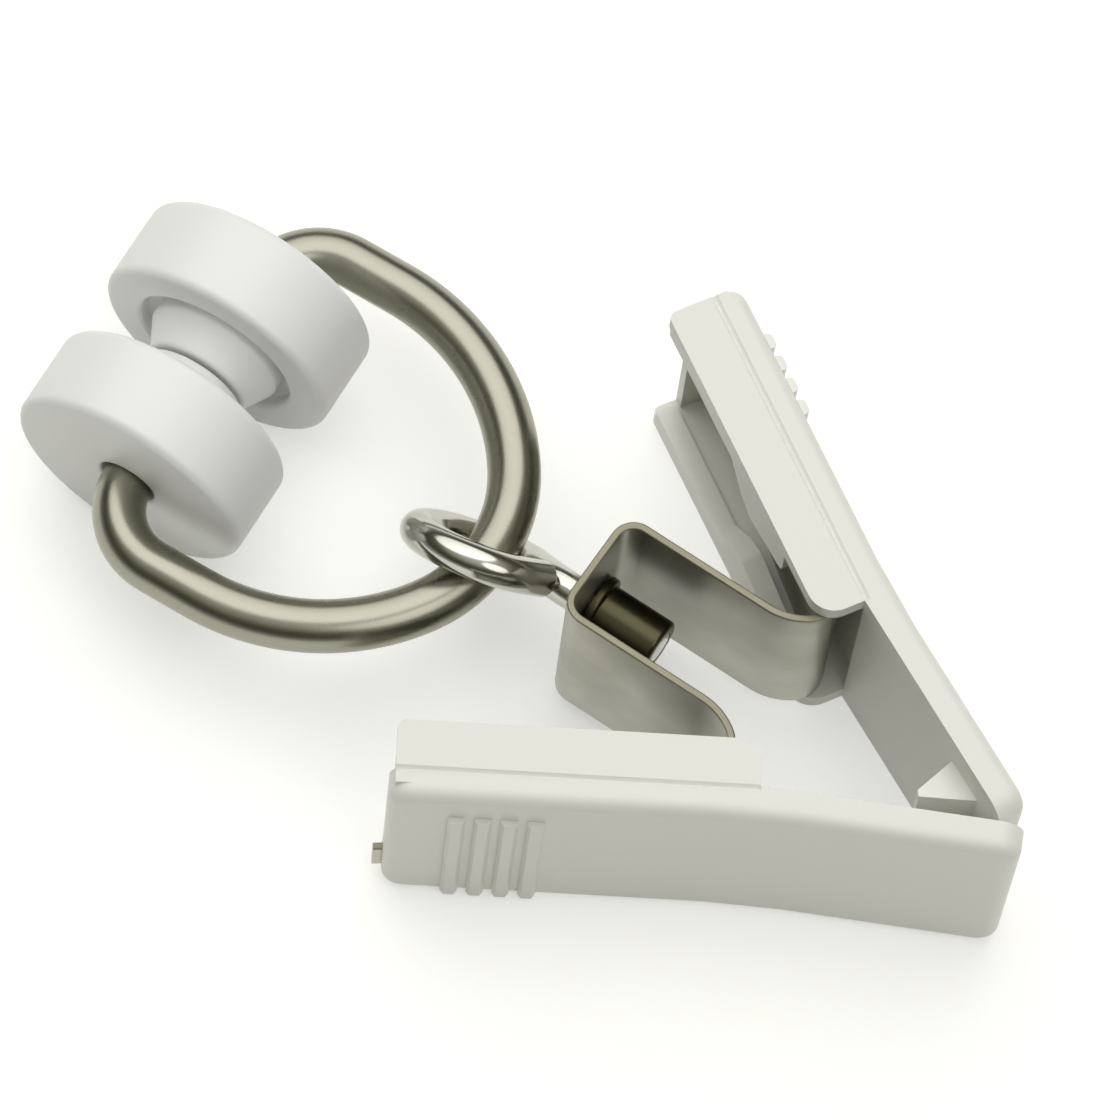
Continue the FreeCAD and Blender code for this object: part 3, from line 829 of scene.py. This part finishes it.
@dataclass
class ClipSpring:
    """The leaf spring, made as two halves that meet at the plate's middle."""

    pivots: Pivots
    half_thick: float = 0.25
    half_wide: float = 6.65
    edge: float = 0.12
    sharp_deg: float = 50.0
    arc_step: float = 0.16
    plate_step: float = 0.3
    leg_half: float = 3.6
    leg_length: float = 10.2
    plate_corner: float = 1.3
    flare_radius: float = 4.2
    flare_deg: float = 35.0
    tail_slope_deg: float = 4.2
    grip_deg: float = 31.5
    grip_length: float = 22.3
    end_wall: float = 1.0
    tail_play: float = 0.25
    tail_height: float = 1.37
    tongue_width: float = 2.6
    tongue_proud: float = 0.6
    shoulder: float = 0.04
    hole_radius: float = 1.3
    bar_length: float = 4.0
    knee_ahead: float = 16.8
    knee_aside: float = 8.5766
    jaw_slip: float = 0.7
    flex_start: float = 4.2
    flex_end: float = 7.4
    edge_facing: float = 0.6

    def half_path(self, place: Place) -> tuple[Array, Array]:
        """Path of one half, from the plate's middle to the shoulder of the tongue.

        The hairpin's radius is the one that brings its end onto the tail's line, whose slope and
        end point are known from the arm.

        Args:
            place: Arm that the tail lies in.

        Returns:
            Points and headings.
        """
        sign = place.value
        grip = math.radians(self.grip_deg)
        toward = np.array([-math.cos(grip), sign * math.sin(grip)])
        inward = np.array([-math.sin(grip), -sign * math.cos(grip)])
        wall = self.grip_length - self.end_wall - self.tail_play
        plate_x, plate_y, _ = self.pivots.plate
        knee = np.array([plate_x + self.knee_ahead - sign * self.jaw_slip, plate_y + sign * self.knee_aside])
        end = knee + toward * wall + inward * self.tail_height
        tail = math.pi - grip - math.radians(self.tail_slope_deg)
        flare = math.radians(self.flare_deg)
        path = Trace(plate_x, plate_y, sign * math.pi / 2, self.arc_step)
        path.line(self.leg_half - self.plate_corner, self.plate_step)
        path.arc(self.plate_corner, -sign * math.pi / 2)
        path.line(self.leg_length - self.plate_corner)
        path.arc(self.flare_radius, sign * flare)
        normal = np.array([-math.sin(tail), math.cos(tail)])
        here = np.array([path.x, sign * path.y])
        target = np.array([end[0], sign * end[1]])
        swing = np.array([math.sin(tail) - math.sin(flare), math.cos(flare) - math.cos(tail)])
        path.arc(float(-normal @ (here - target) / (normal @ swing)), sign * (tail - flare))
        path.line(float(np.linalg.norm(end - np.array([path.x, path.y]))))
        return path.sampled()

    def build_half(self, name: str, place: Place) -> bpy.types.Object:
        """Carries the strip's rounded section along one half of the path.

        A section point lies at an offset across the thickness and at an inset from the strip's
        edge, so that the width can change to the tongue's without changing the edge.

        Args:
            name: Name of the piece.
            place: Arm that the tail lies in.

        Returns:
            The half strip with its part of the shank hole cut out.
        """
        points, headings = self.half_path(place)
        aim = headings[-1]
        ahead = np.array([math.cos(aim), math.sin(aim)])
        proud = self.tongue_proud if place is Place.LOWER else 0.0
        run = np.array([self.shoulder, self.tail_play + self.end_wall + proud])
        points = np.vstack([points, points[-1] + run[:, None] * ahead])
        headings = np.concatenate([headings, [aim, aim]])
        count = len(points)
        middle = self.pivots.plate[2]
        low = np.full(count, middle - self.half_wide)
        high = np.full(count, middle + self.half_wide)
        if place is Place.UPPER:
            low[-2:] = high[-2:] - self.tongue_width
        else:
            high[-2:] = low[-2:] + self.tongue_width
        section = rounded_outline(
            [
                (self.half_thick, 1.0, self.edge),
                (-self.half_thick, 1.0, self.edge),
                (-self.half_thick, -1.0, self.edge),
                (self.half_thick, -1.0, self.edge),
            ]
        )
        offset = section[:, 0]
        sign = np.sign(section[:, 1])
        inset = 1.0 - np.abs(section[:, 1])
        normal = np.stack([-np.sin(headings), np.cos(headings)], 1)
        flat = points[:, None, :] + normal[:, None, :] * offset[None, :, None]
        height = np.where(sign > 0, high[:, None] - inset, low[:, None] + inset)
        grid = np.concatenate([flat, height[..., None]], axis=2)
        half = mesh_from_grid(name, grid, sharp=self.sharp_deg)
        self.cut_hole(half)
        return half

    def mark_edges(self, half: bpy.types.Object, sheared_and_shaded: bpy.types.Material) -> None:
        """Gives the strip's cut edges, whose faces look up or down, a rougher finish and a darker colour; the
        darker colour is painted shade that dims the lamps' reflection in them.

        Args:
            half: Half strip that has its main finish.
            sheared_and_shaded: Finish of the cut edges, rougher than the strip, with a darker colour that is
                painted shade.
        """
        half.data.materials.append(sheared_and_shaded)
        # Faces whose normals point up or down get the darker edge colour, which is painted shade.
        for face in half.data.polygons:
            if abs(face.normal.z) > self.edge_facing:
                face.material_index = 1

    def cut_hole(self, half: bpy.types.Object) -> None:
        """Cuts the shank hole out of a half strip with a round bar along the pull axis.

        The bar is turned by half a step, so that none of its corners lies on the half's end face.

        Args:
            half: Half strip to cut.
        """
        turned = Matrix.Rotation(math.pi / 2, 4, "Y") @ Matrix.Rotation(math.pi / Level.TURN.value, 4, "Z")
        work = bmesh.new()
        bmesh.ops.create_cone(
            work,
            cap_ends=True,
            segments=Level.TURN.value,
            radius1=self.hole_radius * MM,
            radius2=self.hole_radius * MM,
            depth=self.bar_length * MM,
            matrix=Matrix.Translation(self.pivots.plate * MM) @ turned,
        )
        mesh = bpy.data.meshes.new("hole_bar")
        work.to_mesh(mesh)
        work.free()
        bar = finish_mesh("hole_bar", mesh, self.sharp_deg)
        cut = half.modifiers.new("shank_hole", "BOOLEAN")
        cut.object = bar
        cut.operation = "DIFFERENCE"
        cut.solver = "EXACT"
        graph = bpy.context.evaluated_depsgraph_get()
        made = bpy.data.meshes.new_from_object(half.evaluated_get(graph))
        half.modifiers.clear()
        half.data = made
        smooth(made, self.sharp_deg)
        bpy.data.objects.remove(bar)


@dataclass
class JawArm:
    """One jaw arm: the CAD moulding with its edges softened as a mould leaves them."""

    source: bpy.types.Object
    weld_mm: float = 0.002
    flat_deg: float = 0.6
    sharp_deg: float = 30.0
    edge_mm: float = 0.26
    edge_steps: int = 3
    edge_angle_deg: float = 32.0

    def build(self, name: str) -> bpy.types.Object:
        """Copies the CAD node, joins its triangles and rounds its edges.

        Args:
            name: Name of the piece.

        Returns:
            The arm.
        """
        mesh = self.source.data.copy()
        mesh.name = name
        work = bmesh.new()
        work.from_mesh(mesh)
        bmesh.ops.remove_doubles(work, verts=work.verts, dist=self.weld_mm * MM)
        bmesh.ops.dissolve_limit(
            work,
            angle_limit=math.radians(self.flat_deg),
            verts=work.verts,
            edges=work.edges,
        )
        work.to_mesh(mesh)
        work.free()
        made = finish_mesh(name, mesh, self.sharp_deg)
        soft = made.modifiers.new("moulded_edges", "BEVEL")
        soft.width = self.edge_mm * MM
        soft.segments = self.edge_steps
        soft.limit_method = "ANGLE"
        soft.angle_limit = math.radians(self.edge_angle_deg)
        soft.use_clamp_overlap = True
        soft.harden_normals = False
        return made


@dataclass(frozen=True)
class SoftLamp:
    """A round area lamp that looks at the origin, in metres and watts."""

    name: str
    place: tuple[float, float, float]
    width: float
    power: float

    def hang(self) -> None:
        """Adds the lamp to the scene."""
        data = bpy.data.lights.new(self.name, "AREA")
        data.shape = "DISK"
        data.size = self.width
        data.energy = self.power
        lamp = bpy.data.objects.new(self.name, data)
        lamp.location = self.place
        lamp.rotation_euler = (-Vector(self.place)).to_track_quat("-Z", "Y").to_euler()
        bpy.context.scene.collection.objects.link(lamp)


@dataclass
class Studio:
    """Pale floor, soft light and the camera of the photograph.

    The camera's angles are in radians. The floor and the lamps are in metres.
    """

    pivots: Pivots
    azimuth: float = 0.4527995
    elevation: float = 1.1808532
    roll: float = 0.1478829
    aim_from_plate: tuple[float, float, float] = (-3.0469, 1.3344, 0.0)
    distance: float = 500.0
    focal_px: float = 8105.02
    sensor_mm: float = 36.0
    floor_reach: float = 2.0
    floor_drop: float = 0.00002
    floor_colour: str = "#E6E6E1"
    floor_glow: float = 0.4
    room_strength: float = 0.8
    room_colours: tuple[tuple[float, str], ...] = (
        (0.0, "#C4C7CF"),
        (0.1, "#A8A9A6"),
        (0.3, "#4E4C3D"),
        (0.58, "#6E6C59"),
        (0.8, "#C9C8BC"),
        (1.0, "#F2F3F4"),
    )
    lamps: tuple[SoftLamp, ...] = (
        SoftLamp("key", (-0.2, 0.2, 0.55), 0.9, 2.9),
        SoftLamp("fill", (0.35, -0.1, 0.5), 0.4, 0.6),
    )

    def build_camera(self) -> None:
        """Sets the camera by its angles about the target."""
        az, el, roll = self.azimuth, self.elevation, self.roll
        back = np.array([math.cos(el) * math.sin(az), -math.cos(el) * math.cos(az), math.sin(el)])
        right = np.array([math.cos(az), math.sin(az), 0.0])
        up = np.cross(right, -back)
        turned = math.cos(roll) * right + math.sin(roll) * up
        upright = -math.sin(roll) * right + math.cos(roll) * up
        target = self.pivots.plate + np.array(self.aim_from_plate)
        place = (target + back * self.distance) * MM
        data = bpy.data.cameras.new("photo_camera")
        data.sensor_width = self.sensor_mm
        data.lens = self.sensor_mm * self.focal_px / IMAGE_SIDE
        data.clip_start = 0.01
        data.clip_end = 10.0
        camera = bpy.data.objects.new("photo_camera", data)
        frame = Matrix.Identity(4)
        for column, vector in enumerate((turned, upright, back, place)):
            for line in range(3):
                frame[line][column] = float(vector[line])
        camera.matrix_world = frame
        bpy.context.scene.collection.objects.link(camera)
        bpy.context.scene.camera = camera

    def build_floor(self) -> None:
        """Lays a pale floor that shows white to the camera and in metal, and keeps the object's shadow."""
        reach = self.floor_reach
        corners = [(-reach, -reach, 0.0), (reach, -reach, 0.0), (reach, reach, 0.0), (-reach, reach, 0.0)]
        mesh = bpy.data.meshes.new("floor")
        mesh.from_pydata(corners, [], [(0, 1, 2, 3)])
        floor = bpy.data.objects.new("floor", mesh)
        floor.location = (0.0, 0.0, -self.floor_drop)
        bpy.context.scene.collection.objects.link(floor)
        made = new_material("paper_sweep")
        tree = made.node_tree
        rays = add_node(tree, "ShaderNodeLightPath", {}, {})
        seen = add_node(
            tree,
            "ShaderNodeMath",
            {"operation": "MAXIMUM"},
            {0: rays.outputs["Is Camera Ray"], 1: rays.outputs["Is Glossy Ray"]},
        )
        glow = add_node(
            tree,
            "ShaderNodeMath",
            {"operation": "MULTIPLY", 1: self.floor_glow},
            {0: seen.outputs["Value"]},
        )
        shader = add_node(
            tree,
            "ShaderNodeBsdfPrincipled",
            {
                "Base Color": linear(self.floor_colour),
                "Roughness": 0.9,
                "Emission Color": linear("#FFFFFF"),
            },
            {"Emission Strength": glow.outputs[0]},
        )
        add_node(tree, "ShaderNodeOutputMaterial", {}, {"Surface": shader.outputs["BSDF"]})
        mesh.materials.append(made)

    def build_world(self) -> None:
        """Makes a soft room: bright overhead, dim and olive half way down, pale at the horizon."""
        world = bpy.data.worlds.new("soft_room")
        bpy.context.scene.world = world
        world.use_nodes = True
        tree = world.node_tree
        tree.nodes.clear()
        where = add_node(tree, "ShaderNodeTexCoord", {}, {})
        parts = add_node(tree, "ShaderNodeSeparateXYZ", {}, {0: where.outputs["Generated"]})
        ramp = add_node(tree, "ShaderNodeValToRGB", {}, {"Fac": parts.outputs["Z"]})
        lowest, highest = ramp.color_ramp.elements
        lowest.position = self.room_colours[0][0]
        lowest.color = linear(self.room_colours[0][1])
        highest.position = self.room_colours[-1][0]
        highest.color = linear(self.room_colours[-1][1])
        for position, colour in self.room_colours[1:-1]:
            ramp.color_ramp.elements.new(position).color = linear(colour)
        rays = add_node(tree, "ShaderNodeLightPath", {}, {})
        room = add_node(
            tree,
            "ShaderNodeBackground",
            {"Strength": self.room_strength},
            {"Color": ramp.outputs["Color"]},
        )
        paper = add_node(tree, "ShaderNodeBackground", {"Color": linear("#FFFFFF"), "Strength": 1.0}, {})
        mix = add_node(
            tree,
            "ShaderNodeMixShader",
            {},
            {0: rays.outputs["Is Camera Ray"], 1: room.outputs[0], 2: paper.outputs[0]},
        )
        add_node(tree, "ShaderNodeOutputWorld", {}, {"Surface": mix.outputs[0]})

    def build(self) -> None:
        """Sets up the floor, the room, a large soft key with a weaker fill, and the camera."""
        self.build_floor()
        self.build_world()
        for lamp in self.lamps:
            lamp.hang()
        self.build_camera()


def main() -> None:
    """Builds the pieces in order and reports each."""
    logging.basicConfig(level=logging.INFO, format="%(name)s: %(message)s")
    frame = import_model()
    nodes = frame["nodes"]
    pivots = Pivots.of_frame(frame["joints"])
    moulded = Moulding("acetal_moulding", "#E9E9E3").build()
    wheel_skin = Moulding("nylon_wheel", "#F0F1F0", roughness=0.4).build()
    ring_steel = SteelWire("stainless_ring_wire", "#9A998B", roughness=0.27).build()
    eye_steel = SteelWire("stainless_eye_wire", "#BFBEB6", roughness=0.15).build()
    sleeve_metal = SteelWire("blued_sleeve", "#4C4936", roughness=0.3).build()
    strip_steel = RolledStrip("rolled_spring_strip", "#BCBBB0", "#A8A79B", roughness=0.38).build()
    # The cut edges are rougher, and their darker colour is painted shade that dims the key lamp's reflection
    # in them.
    sheared_and_shaded = SteelWire("sheared_and_shaded_strip_edge", "#8F8C78", roughness=0.5).build()

    roller = TrackRoller(pivots)
    for name, body, side in (("left_track_wheel", "left_wheel", -1), ("right_track_wheel", "right_wheel", 1)):
        wheel = roller.build_wheel(name, side)
        dress(wheel, wheel_skin, "wheel_plastic", body)
        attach(wheel, body)
        LOG.info("%s built", name)
    ring = roller.build_ring("ring_wire")
    dress(ring, ring_steel, "ring_wire", "axle_ring")
    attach(ring, "ring")

    swivel = SwivelEye(pivots)
    eye = swivel.build_eye("eye_wire")
    dress(eye, eye_steel, "eye_wire", "swivel_eye")
    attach(eye, "swivel")
    sleeve = swivel.build_sleeve("shank_sleeve")
    dress(sleeve, sleeve_metal, "sleeve_metal", "swivel_sleeve")
    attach(sleeve, "swivel")
    LOG.info("ring, eye and sleeve built")

    spring = ClipSpring(pivots)
    for name, place, body in (
        ("upper_spring_half", Place.UPPER, "upper_jaw"),
        ("lower_spring_half", Place.LOWER, "lower_jaw"),
    ):
        half = spring.build_half(name, place)
        dress(half, strip_steel, "spring_strip", "clip_spring")
        spring.mark_edges(half, sheared_and_shaded)
        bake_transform(half)
        LOG.info("%s built", name)

    for name, node in (("upper_jaw_arm", "upper_jaw"), ("lower_jaw_arm", "lower_jaw")):
        arm = JawArm(nodes[node]).build(name)
        dress(arm, moulded, "jaw_plastic", node)
        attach(arm, node)
        LOG.info("%s built", name)

    Studio(pivots).build()
    bpy.context.scene.view_settings.view_transform = "Standard"


if __name__ == "__main__":
    main()
